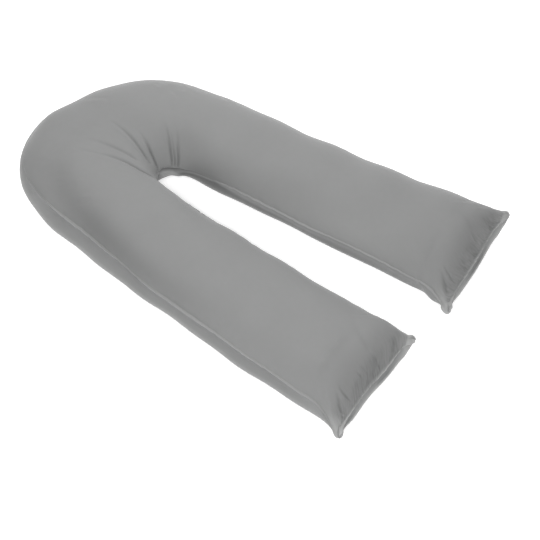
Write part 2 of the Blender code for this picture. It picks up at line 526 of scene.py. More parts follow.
@dataclass
class ClothGrid:
    """The cover as a grid of points: rings along it, and columns round each ring.

    Column 0 is the outer seam. The top panel's columns come first, then the inner seam, then the
    bottom panel's.
    """

    points: np.ndarray
    places: np.ndarray
    along: np.ndarray
    across: np.ndarray
    from_outer: np.ndarray
    share: np.ndarray
    flat: dict[Panel, np.ndarray]
    inner_seam_column: int

    @property
    def columns(self) -> int:
        """How many points a ring has."""
        return self.points.shape[1]

    def normals(self) -> np.ndarray:
        """Works out which way the cloth faces.

        Returns:
            The outward normal at each point.
        """
        round_ring = np.roll(self.points, -1, 1) - np.roll(self.points, 1, 1)
        down_pillow = np.gradient(self.points, axis=0)
        normal = np.cross(round_ring, down_pillow)
        length = np.linalg.norm(normal, axis=2, keepdims=True)
        return normal / np.maximum(length, TINY)

    @property
    def on_top(self) -> np.ndarray:
        """Which columns lie on the top panel, its two seams among them."""
        return np.arange(self.columns) <= self.inner_seam_column

    def run_from_end(self, backwards: bool = False) -> np.ndarray:
        """How far each point is from an end seam, measured down its own column.

        Args:
            backwards: Measures from the right arm's end seam, and not from the left one's.

        Returns:
            Distances, as rings by columns.
        """
        points = self.points[::-1] if backwards else self.points
        steps = np.linalg.norm(np.diff(points, axis=0), axis=2)
        run = np.concatenate([np.zeros((1, self.columns)), np.cumsum(steps, 0)])
        return run[::-1] if backwards else run

    def end_distance(self) -> np.ndarray:
        """How far each point is from the nearer end seam."""
        return np.minimum(self.run_from_end(), self.run_from_end(backwards=True))

    def on_outer_side(self) -> np.ndarray:
        """Which points are nearer to the outer seam than to the inner one."""
        return self.across >= self.from_outer

    def side_distance(self) -> np.ndarray:
        """How far each point is from the nearer of the two long seams."""
        return np.minimum(self.across, self.from_outer)

    def seam_distance(self) -> np.ndarray:
        """How far each point is from the nearest seam."""
        return np.minimum(self.side_distance(), self.end_distance())

    def tips(self) -> np.ndarray:
        """How near each point is to the tip of an ear, from 0 to 1."""
        return bell(np.hypot(self.side_distance(), self.end_distance()), TIP_REACH)

    def line_inside_seam(self, inset: float, hidden: Stretch) -> np.ndarray:
        """The line that runs round the top panel beside the seam, open where a fold hides it.

        Args:
            inset: How far it is from the seam.
            hidden: The part of the inner seam that is left out, in metres along.

        Returns:
            Points, one a row.
        """
        seam = self.inner_seam_column
        outer = int(np.argmin(np.abs(self.from_outer[0, : seam // 2] - inset)))
        inner = seam - outer
        start = int(np.argmin(np.abs(self.run_from_end()[:, seam // 2] - inset)))
        stop = int(np.argmin(np.abs(self.run_from_end(backwards=True)[:, seam // 2] - inset)))
        corner = 2 * outer
        fold_start, fold_end = np.searchsorted(self.along, hidden)
        return np.concatenate([
            self.points[fold_start : start + corner : -1, inner],
            self.points[start, inner - corner : outer + corner : -1],
            self.points[start + corner : stop - corner, outer],
            self.points[stop, outer + corner : inner - corner],
            self.points[stop - corner : fold_end : -1, inner],
        ])

    def lip(self, ring: int) -> list[list[int]]:
        """Faces that close an end ring between its two panels.

        Args:
            ring: The ring's number.

        Returns:
            Triangles, as the points' numbers in the whole grid.
        """
        first, seam = ring * self.columns, self.inner_seam_column
        top = list(range(seam + 1))
        under = [0, *range(self.columns - 1, seam - 1, -1)]
        faces, upper, lower = [], 0, 0
        while upper < len(top) - 1 or lower < len(under) - 1:
            share_up = self.share[ring, top[min(upper + 1, seam)]]
            share_down = self.share[ring, under[min(lower + 1, len(under) - 1)]]
            if lower == len(under) - 1 or (upper < seam and share_up <= share_down):
                face = [top[upper], top[upper + 1], under[lower]]
                upper += 1
            else:
                face = [top[upper], under[lower + 1], under[lower]]
                lower += 1
            if len(set(face)) == 3:
                faces.append([first + corner for corner in face])
        return faces

    def faces(self) -> list[list[int]]:
        """Closes the cover.

        Returns:
            Its faces as the points' numbers: the quads, then its two end lips.
        """
        rings, columns = self.points.shape[:2]
        number = np.arange(rings * columns).reshape(rings, columns)
        after = np.roll(number, -1, 1)
        sides = np.stack([number[:-1], after[:-1], after[1:], number[1:]], -1).reshape(-1, 4)
        lips = [face[::-1] for face in self.lip(0)] + self.lip(rings - 1)
        return [*sides.tolist(), *lips]

    def spots(self, path: np.ndarray) -> np.ndarray:
        """The points in space of places in the top panel's chart.

        Args:
            path: Places as (along, across), one a row.

        Returns:
            Points, one a row.
        """
        top = slice(self.inner_seam_column, None, -1)
        found = []
        for along, across in path:
            row = np.interp(along, self.along, np.arange(len(self.along)))
            low = min(int(row), len(self.along) - 2)
            ends = [
                [np.interp(across, self.across[k, top], self.points[k, top, axis]) for axis in range(3)]
                for k in (low, low + 1)
            ]
            found.append(np.array(ends[0]) + (row - low) * np.subtract(ends[1], ends[0]))
        return np.array(found)


def joined(panels: dict[Panel, np.ndarray]) -> np.ndarray:
    """The columns of a whole ring: the top panel's, then the bottom one's from the inner seam back."""
    return np.concatenate([panels[Panel.TOP], panels[Panel.BOTTOM][:, -2:0:-1]], 1)


def make_grid(form: PillowForm, layout: GridLayout) -> ClothGrid:
    """Spreads a grid of points over the pillow's form.

    Args:
        form: The form.
        layout: How the points are spread.

    Returns:
        The grid, with its chart.
    """
    places = form.stations(layout.ring_spacing)
    rings = form.rings_at(places)
    inner, outer = rings.sides()
    middle = (inner + outer) / 2
    axis = (outer - inner) / np.linalg.norm(outer - inner, axis=1)[:, None]
    along = np.concatenate([[0.0], np.cumsum(np.linalg.norm(np.diff(middle, axis=0), axis=1))])
    points, across, from_outer, share, flat = {}, {}, {}, {}, {}
    for panel in Panel:
        outlines = form.outline(rings, panel)
        steps = np.linalg.norm(np.diff(outlines, axis=1), axis=2)
        run = np.concatenate([np.zeros((len(steps), 1)), np.cumsum(steps, 1)], 1)
        length = run[:, -1:]
        from_outer[panel] = np.array([layout.offsets(panel, whole) for whole in run[:, -1]])
        points[panel] = np.stack([
            np.stack([np.interp(offsets, distance, line[:, k]) for k in range(3)], -1)
            for offsets, distance, line in zip(from_outer[panel], run, outlines)
        ])
        across[panel] = length - from_outer[panel]
        share[panel] = from_outer[panel] / length
        offset = (length / 2 - from_outer[panel])[..., None]
        flat[panel] = middle[:, None] + axis[:, None] * offset
    return ClothGrid(
        points=form.with_ears(joined(points)),
        places=places,
        along=along,
        across=joined(across),
        from_outer=joined(from_outer),
        share=joined(share),
        flat=flat,
        inner_seam_column=points[Panel.TOP].shape[1] - 1,
    )


@dataclass(frozen=True)
class ClothSettling:
    """The wrinkles of the cover under its filling, from a short cloth simulation.

    A coarse copy of the cover is held along its seams and where it rests. The filling presses it
    out, and the thread draws in the cloth beside the seams. Only the wrinkles are kept, because
    the form already has the filling's swell.
    """

    layout: GridLayout = GridLayout(
        ring_spacing=((-1.0, 0.010), (17.0, 0.010)), seam_offsets=(0.0,), middle_points=(38, 26)
    )
    frames: int = 20
    quality: int = 5
    pressure: float = 4.0
    stiffness: float = 15.0
    bending: float = 0.5
    drawn_in: float = 0.03
    draw_reach: float = 0.03
    rest_level: float = 0.0035
    passes: int = 24
    cap: float = 0.0025

    def relief(self, form: PillowForm, fine: ClothGrid) -> np.ndarray:
        """How far the wrinkles stand out.

        Args:
            form: The form that the cloth covers.
            fine: The grid that is to have the wrinkles.

        Returns:
            The relief at each point of the fine grid.
        """
        coarse = make_grid(form, self.layout)
        moved = self.simulated(coarse) - coarse.points
        height = np.einsum("ijk,ijk->ij", moved, coarse.normals())
        for axis in (0, 1):
            height = height - averaged(height, axis, self.passes)
        return self.carried(coarse, self.cap * np.tanh(height / self.cap), fine)

    def simulated(self, coarse: ClothGrid) -> np.ndarray:
        """Runs the simulation.

        Args:
            coarse: The grid to settle.

        Returns:
            Its points once the cloth has settled.
        """
        mesh = bpy.data.meshes.new("settling_cloth")
        mesh.from_pydata(coarse.points.reshape(-1, 3).tolist(), [], coarse.faces())
        helper = bpy.data.objects.new("settling_cloth", mesh)
        bpy.context.scene.collection.objects.link(helper)
        distance = coarse.seam_distance()
        held = (distance <= 0) | (coarse.points[..., 2] < self.rest_level)
        held[[0, -1]] = True
        helper.vertex_groups.new(name="held").add(np.flatnonzero(held).tolist(), 1.0, "REPLACE")
        drawn = helper.vertex_groups.new(name="drawn")
        for index, weight in enumerate(bell(distance, self.draw_reach).ravel()):
            drawn.add([index], float(weight), "REPLACE")
        cloth = helper.modifiers.new("settling", "CLOTH")
        cloth.point_cache.frame_start, cloth.point_cache.frame_end = 1, self.frames
        settings = cloth.settings
        settings.quality = self.quality
        settings.tension_stiffness = settings.compression_stiffness = self.stiffness
        settings.bending_stiffness = self.bending
        settings.use_pressure, settings.uniform_pressure_force = True, self.pressure
        settings.vertex_group_mass, settings.vertex_group_shrink = "held", "drawn"
        settings.shrink_max = self.drawn_in
        settings.effector_weights.gravity = 0
        for frame_number in range(1, self.frames + 1):
            bpy.context.scene.frame_set(frame_number)
        settled = helper.evaluated_get(bpy.context.evaluated_depsgraph_get()).data
        points = np.empty(coarse.points.size)
        settled.vertices.foreach_get("co", points)
        bpy.data.objects.remove(helper)
        bpy.data.meshes.remove(mesh)
        bpy.context.scene.frame_set(1)
        return points.reshape(coarse.points.shape)

    def carried(self, coarse: ClothGrid, values: np.ndarray, fine: ClothGrid) -> np.ndarray:
        """Values known at the coarse grid's points, smoothly carried to the fine grid's.

        Args:
            coarse: The coarse grid, whose columns are evenly spread over each panel.
            values: The values, as rings by columns.
            fine: The fine grid, on the same form.

        Returns:
            The values at each point of the fine grid.
        """
        rows = np.interp(fine.places, coarse.places, np.arange(len(coarse.places)))
        at_rings = smooth_rows(values, rows)
        seam = coarse.inner_seam_column
        top = at_rings[:, : seam + 1]
        bottom = np.concatenate([at_rings[:, :1], at_rings[:, : seam - 1 : -1]], 1)
        found = []
        for table in (top, bottom):
            last = table.shape[1] - 1
            index = np.clip((fine.share * last).astype(int), 0, last - 1)
            weights = cubic_weights(fine.share * last - index)
            found.append(sum(
                weight * np.take_along_axis(table, np.clip(index + step, 0, last), 1)
                for step, weight in zip((-1, 0, 1, 2), weights)
            ))
        return np.where(fine.on_top, *found)


@dataclass(frozen=True)
class SeamEdge:
    """The turned edge of the seam, which stands proud of a hollow on its underside."""

    proud: float = 0.0026
    half_width: float = 0.0020
    hollow: Stretch = (0.0005, 0.0020)
    hollow_at: float = 0.0052
    hollow_width: float = 0.0030

    def relief(self, distance: np.ndarray, on_top: np.ndarray) -> np.ndarray:
        """How far the cloth stands out.

        Args:
            distance: How far each point is from the seam.
            on_top: Whether it is on the top panel.

        Returns:
            The relief at each point.
        """
        ridge = self.proud * bell(distance, self.half_width)
        depth = np.where(on_top, self.hollow[Panel.TOP.value], self.hollow[Panel.BOTTOM.value])
        return ridge - depth * bell(distance - self.hollow_at, self.hollow_width)


@dataclass(frozen=True)
class SeamPuckers:
    """Small dimples that cross a seam at uneven distances, where its thread draws the cloth in."""

    seed: int
    spacing: Stretch
    depth: Stretch
    width: Stretch
    reach: Stretch
    slant: float = 0.25
    lip: float = 0.4
    lip_at: float = 1.8

    def relief(self, run: np.ndarray, distance: np.ndarray) -> np.ndarray:
        """How far the cloth stands out near a seam.

        Args:
            run: The distance down the seam, at each point.
            distance: The distance from the seam, at each point.

        Returns:
            The relief at each point, which is below zero in a dimple.
        """
        dice = np.random.RandomState(self.seed)
        made = np.zeros(np.broadcast(run, distance).shape)
        place, end = dice.uniform(*self.spacing), float(run.max())
        while place < end:
            depth, width = dice.uniform(*self.depth), dice.uniform(*self.width)
            reach, slant = dice.uniform(*self.reach), dice.uniform(-self.slant, self.slant)
            off = (run - place - slant * distance) / (width * (1 + distance / reach))
            trough = bell(off, 1.0) - self.lip * bell(np.abs(off) - self.lip_at, 1.0)
            made -= depth * trough * bell(distance, reach)
            place += dice.uniform(*self.spacing)
        return made


SIDE_PUCKERS = SeamPuckers(
    seed=11,
    spacing=(0.030, 0.085),
    depth=(0.0006, 0.0020),
    width=(0.004, 0.009),
    reach=(0.012, 0.030),
)
END_PUCKERS = SeamPuckers(
    seed=13,
    spacing=(0.010, 0.026),
    depth=(0.0006, 0.0018),
    width=(0.0022, 0.0045),
    reach=(0.010, 0.035),
)


@dataclass(frozen=True)
class Unevenness:
    """The slow rise and fall of the filling under the cloth."""

    seed: int = 7
    waves: int = 14
    length: Stretch = (0.10, 0.30)
    height: float = 0.0007

    def relief(self, flat: np.ndarray) -> np.ndarray:
        """How far the cloth stands out.

        Args:
            flat: Places on the flat panel.

        Returns:
            The relief at each place.
        """
        dice = np.random.RandomState(self.seed)
        made = np.zeros(flat.shape[:-1])
        for _ in range(self.waves):
            angle, phase = dice.uniform(0, 2 * math.pi, 2)
            number = 2 * math.pi / dice.uniform(*self.length)
            down = flat @ np.array([math.cos(angle), math.sin(angle)])
            made += self.height * np.sin(number * down + phase)
        return made


class Crease(NamedTuple):
    """A soft trough in the top panel. Its path is in the cloth's chart, deepest at its start."""

    path: tuple[tuple[float, float], ...]
    width: float
    depth: float
    ridge: float


@dataclass(frozen=True)
class CreaseShape:
    """The form that all creases share, with distances across a crease counted in its widths."""

    steps: int = 12
    reach: float = 5.0
    widening: Stretch = (0.8, 1.6)
    trough_power: float = 1.5
    ridge_at: float = 2.0
    ridge_width: float = 1.1
    start_strength: float = 0.35
    rises_over: float = 0.15
    falls_over: float = 0.6
    # The crease depth at which its painted shade is full.
    full_depth: float = 0.0100

    def relief(self, grid: ClothGrid, normals: np.ndarray, crease: Crease) -> tuple[np.ndarray, np.ndarray]:
        """Works out one crease.

        Args:
            grid: The grid.
            normals: Its normals.
            crease: The crease.

        Returns:
            How far the cloth stands out, and how much painted shade its trough gets, at each point of the
            grid.
        """
        nodes = np.array(crease.path)
        last = len(nodes) - 1
        line = grid.spots(smooth_rows(nodes, np.linspace(0, last, self.steps * last + 1)))
        reach = crease.width * self.reach
        low, high = line.min(0) - reach, line.max(0) + reach
        near = np.all((grid.points > low) & (grid.points < high), axis=2)
        signed, share = self.beside(line, grid.points[near], normals[near])
        start_width, end_width = self.widening
        off = signed / (crease.width * (start_width + (end_width - start_width) * share))
        trough = np.exp(-(np.abs(off) ** self.trough_power))
        ridge = bell(off - self.ridge_at, self.ridge_width)
        strength = self.strength(share)
        relief, painted_shade = np.zeros(grid.points.shape[:2]), np.zeros(grid.points.shape[:2])
        relief[near] = strength * (crease.ridge * ridge - crease.depth * trough)
        # Painted shade in the crease's trough, stronger for deeper creases.
        painted_shade[near] = strength * bell(off, 1.0) * min(crease.depth / self.full_depth, 1.0)
        return relief, painted_shade

    def beside(
        self, line: np.ndarray, points: np.ndarray, outward: np.ndarray
    ) -> tuple[np.ndarray, np.ndarray]:
        """Where points are beside a line.

        Args:
            line: The line's points.
            points: The points to place.
            outward: The cloth's normal at each of them.

        Returns:
            The distance of each from the line, below zero on one side of it, and how far down the
            line it is, from 0 to 1.
        """
        best = np.full(len(points), np.inf)
        signed, share = np.zeros(len(points)), np.zeros(len(points))
        for index, (start, end) in enumerate(zip(line, line[1:])):
            way = end - start
            part = np.clip((points - start) @ way / (way @ way), 0, 1)
            off = points - start - part[:, None] * way
            distance = np.linalg.norm(off, axis=1)
            closer = distance < best
            side = np.sign(np.einsum("ij,ij->i", np.cross(way, off), outward))
            best[closer] = distance[closer]
            signed[closer] = (side * distance)[closer]
            share[closer] = ((index + part) / (len(line) - 1))[closer]
        return signed, share

    def strength(self, share: np.ndarray) -> np.ndarray:
        """Shapes a crease down its length: it rises fast, and then dies out.

        Args:
            share: How far down the crease each point is, from 0 to 1.

        Returns:
            How strong it is there.
        """
        rising = self.start_strength + (1 - self.start_strength) * ramp(share, 0, self.rises_over)
        falling = 1 - ramp(share, 1 - self.falls_over, 1)
        return rising * falling**2 * (3 - 2 * falling)


class Dent(NamedTuple):
    """A wide shallow dent, or below zero a swelling, at a place of one panel."""

    along: float
    across: float
    reach_along: float
    reach_across: float
    depth: float
    panel: Panel = Panel.TOP

    def relief(self, grid: ClothGrid) -> np.ndarray:
        """Presses the dent in.

        Args:
            grid: The grid.

        Returns:
            How far the cloth stands out at each point of the grid.
        """
        down = bell(grid.along[:, None] - self.along, self.reach_along)
        over = bell(grid.across - self.across, self.reach_across)
        here = grid.on_top if self.panel is Panel.TOP else ~grid.on_top
        return -self.depth * down * over * here


class Patch(NamedTuple):
    """A soft patch of painted shade, or of painted light, on the top panel at a place of the chart."""

    along: float
    across: float
    reach_along: float
    reach_across: float
    strength: float

    def strength_at(self, grid: ClothGrid) -> np.ndarray:
        """Lays the patch on the top panel.

        Args:
            grid: The grid.

        Returns:
            How strong the patch is at each point of the grid.
        """
        down = bell(grid.along[:, None] - self.along, self.reach_along)
        over = bell(grid.across - self.across, self.reach_across)
        return self.strength * down * over * grid.on_top


class Shade(NamedTuple):
    """How dark the painted shade is below a seam at a place along, and how far below it that starts."""

    along: float
    strength: float
    start: float


# The creases that run from the head of the slot out over the top panel, then those of the left
# arm's end and of the right arm's.
CREASES = (
    # path as (along, across), width, depth, ridge
    Crease(((1.005, 0.030), (1.055, 0.056), (1.100, 0.106), (1.120, 0.168), (1.128, 0.275)),
           0.0040, 0.0053, 0.0010),
    Crease(((1.150, 0.085), (1.166, 0.130), (1.172, 0.200), (1.168, 0.275)), 0.0050, 0.0031, 0.0005),
    Crease(((1.198, 0.048), (1.236, 0.100), (1.257, 0.145), (1.265, 0.200), (1.262, 0.255)),
           0.0033, 0.0040, 0.0010),
    Crease(((1.213, 0.010), (1.255, 0.055), (1.283, 0.090), (1.298, 0.122), (1.308, 0.168)),
           0.0032, 0.0056, 0.0012),
    Crease(((1.390, 0.022), (1.408, 0.060), (1.418, 0.095), (1.422, 0.130), (1.422, 0.175)),
           0.0034, 0.0048, 0.0014),
    Crease(((1.420, 0.022), (1.433, 0.062), (1.439, 0.150)), 0.0028, 0.0042, 0.0009),
    Crease(((1.446, 0.018), (1.463, 0.062), (1.471, 0.150)), 0.0028, 0.0048, 0.0010),
    Crease(((0.009, 0.282), (0.016, 0.296), (0.028, 0.301), (0.046, 0.291)), 0.0025, 0.0044, 0.0014),
    Crease(((0.006, 0.316), (0.013, 0.331), (0.023, 0.325), (0.043, 0.307)), 0.0025, 0.0036, 0.0010),
    Crease(((0.030, 0.168), (0.080, 0.145), (0.190, 0.092)), 0.0066, 0.0012, 0.0003),
    Crease(((0.008, 0.214), (0.016, 0.226), (0.025, 0.238)), 0.0021, 0.0026, 0.0006),
    Crease(((0.009, 0.196), (0.016, 0.206), (0.024, 0.214)), 0.0021, 0.0022, 0.0006),
    Crease(((0.008, 0.148), (0.014, 0.158), (0.022, 0.165)), 0.0026, 0.0028, 0.0006),
    Crease(((0.006, 0.090), (0.012, 0.080), (0.020, 0.072)), 0.0040, 0.0024, 0.0004),
    Crease(((2.483, 0.090), (2.470, 0.100), (2.443, 0.100)), 0.0022, 0.0040, 0.0010),
    Crease(((2.481, 0.052), (2.470, 0.071), (2.443, 0.085)), 0.0026, 0.0030, 0.0007),
    Crease(((2.486, 0.306), (2.482, 0.322), (2.474, 0.341)), 0.0050, 0.0028, 0.0005),
    Crease(((2.483, 0.157), (2.478, 0.160), (2.471, 0.162)), 0.0022, 0.0026, 0.0006),
    Crease(((2.486, 0.141), (2.481, 0.146), (2.475, 0.149)), 0.0022, 0.0024, 0.0006),
    Crease(((2.484, 0.236), (2.476, 0.242), (2.466, 0.247)), 0.0026, 0.0022, 0.0005),
)

# The seam lies deep in a fold where it turns round the head of the slot.
NOTCH_FOLD = Crease(
    ((1.232, 0.003), (1.300, 0.003), (1.380, 0.003), (1.480, 0.003), (1.620, 0.004), (1.780, 0.004)),
    width=0.0075,
    depth=0.0105,
    ridge=0.0,
)

DENTS = (
    # along, across, reach along, reach across, depth
    Dent(0.930, 0.315, 0.130, 0.045, 0.0070),
    Dent(1.180, 0.060, 0.120, 0.045, 0.0050),
    Dent(1.430, 0.110, 0.014, 0.060, -0.0020),
    Dent(0.130, 0.270, 0.040, 0.020, -0.0022),
    Dent(0.060, 0.045, 0.065, 0.035, -0.0095),
    Dent(0.034, 0.045, 0.022, 0.045, -0.0100, Panel.BOTTOM),
    Dent(2.456, 0.300, 0.022, 0.065, -0.0070, Panel.BOTTOM),
    Dent(2.420, 0.030, 0.026, 0.030, -0.0100, Panel.BOTTOM),
    Dent(1.440, 0.020, 0.045, 0.050, -0.0060, Panel.BOTTOM),
)


# The patches of the first table are painted shade, and those of the second painted light.
PAINTED_SHADE_PATCHES = (
    # along, across, reach along, reach across, strength
    Patch(0.900, 0.312, 0.160, 0.045, 0.45),
    Patch(0.690, 0.325, 0.180, 0.035, 0.26),
    Patch(0.010, 0.172, 0.010, 0.034, 0.46),
    Patch(0.009, 0.238, 0.006, 0.024, 0.30),
    Patch(0.012, 0.080, 0.010, 0.012, 0.38),
    Patch(0.014, 0.333, 0.014, 0.014, 0.28),
    Patch(2.485, 0.207, 0.010, 0.026, 0.38),
    Patch(2.485, 0.150, 0.006, 0.020, 0.22),
    Patch(1.610, 0.015, 0.110, 0.035, 0.40),
    Patch(2.479, 0.324, 0.012, 0.012, 0.34),
    Patch(2.446, 0.258, 0.030, 0.012, 0.14),
    Patch(2.466, 0.064, 0.016, 0.014, 0.26),
)

# Patches of painted light.
PAINTED_LIGHT_PATCHES = (
    Patch(2.120, 0.035, 0.220, 0.050, 0.20),
)

# Painted shade on the bottom panel below the inner seam.
INNER_SHADES = (
    # along, strength, start
    Shade(1.43, 0.0, 0.003),
    Shade(1.48, 1.0, 0.003),
    Shade(1.66, 1.0, 0.003),
    Shade(1.78, 0.9, 0.017),
    Shade(2.25, 0.8, 0.022),
    Shade(2.37, 0.6, 0.022),
    Shade(2.42, 0.0, 0.022),
)

# Painted shade on the bottom panel below the outer seam.
OUTER_SHADES = (
    Shade(0.10, 0.0, 0.0),
    Shade(0.20, 0.3, 0.0),
    Shade(0.95, 0.3, 0.0),
    Shade(1.02, 0.0, 0.0),
)


@dataclass(frozen=True)
class SeamCourse:
    """Where along the pillow the seam's turned edge can be seen, and the cloth beside it is slack."""

    in_fold: Stretch = (1.19, 1.675)
    lies_flat: Stretch = (0.99, 1.17)
    taut_outer_stretch: Stretch = (0.98, 1.54)
    fading: float = 0.03
    taut_reach: float = 0.12

    def standing(self, grid: ClothGrid) -> np.ndarray:
        """How far the turned edge stands out: not where it lies flat or deep in the slot's fold.

        Args:
            grid: The grid.

        Returns:
            The share of the edge that is left, for each point of the grid.
        """
        on_outer = grid.on_outer_side()
        folded, flat = self.within(grid, self.in_fold), self.within(grid, self.lies_flat)
        return 1 - folded * ~on_outer - flat * on_outer

    def lit_and_puckered(self, grid: ClothGrid) -> np.ndarray:
        """How far the edge gets its painted highlight and its puckers: not at all round the head's outer
        side.
        """
        return self.standing(grid) * (1 - self.within(grid, self.taut_outer_stretch) * grid.on_outer_side())

    def slack(self, grid: ClothGrid) -> np.ndarray:
        """How far the cloth can wrinkle: it is taut round the head's outer side."""
        return 1 - self.within(grid, self.taut_outer_stretch) * bell(grid.from_outer, self.taut_reach)

    def within(self, grid: ClothGrid, stretch: Stretch) -> np.ndarray:
        """Marks one stretch of the pillow, which fades out inside its two ends.

        Args:
            grid: The grid.
            stretch: Where it starts and ends, in metres along.

        Returns:
            1 inside the stretch, and 0 outside.
        """
        start, end = stretch
        along = grid.along[:, None]
        return ramp(along, start, start + self.fading) * (1 - ramp(along, end - self.fading, end))


@dataclass(frozen=True)
class PaintedLightAndShade:
    """Where the cover's colour is painted paler for light, and where painted darker for shade.

    Painted highlight lies on the seam's edge and on the ears, and painted light on a band under each
    end and on the wall at the slot's head. Painted shade lies in the creases, in the groove under each
    end seam and below the long seams.
    """

    course: SeamCourse = SeamCourse()
    # Painted highlight on the seam's edge, stronger at the end seams.
    side_edge: float = 0.35
    end_edge: float = 1.1
    end_edge_reach: float = 0.010
    edge_reach: float = 0.0030
    # Painted highlight round the ears.
    ears: float = 0.9
    ear_reach: Stretch = (0.048, 0.042)
    # Painted light on a band of the bottom panel under each end.
    band_at: float = 0.043
    band_width: float = 0.012
    # Painted light on the wall below the seam at the slot's head.
    wall: float = 0.5
    wall_at: float = 1.33
    wall_reach: float = 0.11
    wall_edge: float = 0.006
    wall_depth: float = 0.1
    # Painted shade in the creases, in the groove under each end seam and below the long seams.
    creases: float = 0.85
    groove_at: float = 0.0235
    groove_width: float = 0.0040
    shade_edge: float = 0.006
    inner_shades: tuple[Shade, ...] = INNER_SHADES
    inner_shade_reach: float = 0.08
    outer_shades: tuple[Shade, ...] = OUTER_SHADES
    outer_shade_reach: float = 0.06
    painted_shade_patches: tuple[Patch, ...] = PAINTED_SHADE_PATCHES
    painted_light_patches: tuple[Patch, ...] = PAINTED_LIGHT_PATCHES
    streak_reach: float = 0.055
    streak_fading: float = 0.035

    def painted_light(self, grid: ClothGrid) -> np.ndarray:
        """Works out where the colour is painted paler, as painted highlight and painted light.

        Args:
            grid: The grid.

        Returns:
            How much painted light each point of the grid gets, from 0 to 1.
        """
        on_end = bell(grid.end_distance(), self.end_edge_reach)
        edge = self.side_edge + (self.end_edge - self.side_edge) * on_end
        edge = edge * bell(grid.seam_distance(), self.edge_reach) * self.course.lit_and_puckered(grid)
        # Painted light on a band of the bottom panel under each end.
        band = bell(grid.end_distance() - self.band_at, self.band_width) * ~grid.on_top
        patches = sum(patch.strength_at(grid) for patch in self.painted_light_patches)
        total = edge + self.ears * self.near_ears(grid) + band + self.wall_light(grid) + patches
        return np.clip(total, 0, 1)

    def near_ears(self, grid: ClothGrid) -> np.ndarray:
        """Works out where the ears are. Those towards -X are the larger.

        Args:
            grid: The grid.

        Returns:
            How near each point is to an ear, from 0 to 1.
        """
        on_left_arm = grid.along[:, None] < grid.along[-1] / 2
        to_left = (grid.from_outer < grid.across) == on_left_arm
        corner = np.hypot(grid.side_distance(), grid.end_distance())
        return bell(corner, np.where(to_left, *self.ear_reach))

    def wall_light(self, grid: ClothGrid) -> np.ndarray:
        """Works out the painted light on the wall under the seam at the head of the slot.

        Args:
            grid: The grid.

        Returns:
            How much painted light it gets, at each point of the grid.
        """
        off = (grid.along[:, None] - self.wall_at) / self.wall_reach
        below = ramp(grid.across, 0, self.wall_edge) * (grid.across < self.wall_depth)
        return self.wall * np.exp(-(off**4)) * below * ~grid.on_top

    def painted_shade(self, grid: ClothGrid, creased: np.ndarray) -> np.ndarray:
        """How much painted shade each point gets.

        Args:
            grid: The grid.
            creased: How much painted shade the creases give, at each point.

        Returns:
            The painted shade at each point of the grid, from 0 to 1.
        """
        # Painted shade in the groove under each end seam, none near the ears.
        groove = bell(grid.end_distance() - self.groove_at, self.groove_width) * ~grid.on_top
        groove = groove * (1 - self.near_ears(grid))
        inner = self.shade(grid, self.inner_shades, grid.across, self.inner_shade_reach)
        outer = self.shade(grid, self.outer_shades, grid.from_outer, self.outer_shade_reach)
        patches = sum(patch.strength_at(grid) for patch in self.painted_shade_patches)
        total = self.creases * creased + groove + inner + outer + patches
        return np.clip(total, 0, 1) * (1 - grid.tips())

    def shade(
        self, grid: ClothGrid, shades: tuple[Shade, ...], below: np.ndarray, reach: float
    ) -> np.ndarray:
        """The painted shade on the bottom panel below one of its seams.

        Args:
            grid: The grid.
            shades: How dark it is from place to place.
            below: How far each point is from that seam.
            reach: How far down from the seam it reaches.

        Returns:
            The painted shade at each point of the grid.
        """
        along, strength, start = np.array(shades).T
        strength = np.interp(grid.along, along, strength)[:, None]
        start = np.interp(grid.along, along, start)[:, None]
        return strength * ramp(below, start, start + self.shade_edge) * bell(below, reach) * ~grid.on_top

    def streaks(self, grid: ClothGrid) -> np.ndarray:
        """Makes the chart of the streaks of painted shade beside the end seams.

        Args:
            grid: The grid.

        Returns:
            For each point: across, the distance from the end seam, and how strong the streaks are.
        """
        distance = grid.end_distance()
        strength = bell(distance, self.streak_reach) * grid.on_top
        strength = strength * ramp(grid.side_distance(), 0, self.streak_fading)
        return np.stack([grid.across, distance, strength], -1)


class Term:
    """A number in a shader. Python's operators on it add Math nodes to the material."""

    def __init__(self, graph: "Graph", socket: bpy.types.NodeSocket) -> None:
        """Wraps an output socket of the graph."""
        self.graph = graph
        self.socket = socket

    def combined(self, operation: str, *values: "Term | float") -> "Term":
        """This number and others through one Math node."""
        return self.graph.node("ShaderNodeMath", {"operation": operation}, dict(enumerate(values)))

    def __add__(self, other: "Term | float") -> "Term":
        """The sum."""
        return self.combined("ADD", self, other)

    __radd__ = __add__

    def __mul__(self, other: "Term | float") -> "Term":
        """The product."""
        return self.combined("MULTIPLY", self, other)

    __rmul__ = __mul__

    def __sub__(self, other: "Term | float") -> "Term":
        """This less the other."""
        return self.combined("SUBTRACT", self, other)

    def __rsub__(self, other: "Term | float") -> "Term":
        """The other less this."""
        return self.combined("SUBTRACT", other, self)

    def sine(self) -> "Term":
        """The sine of this number of radians."""
        return self.combined("SINE", self)


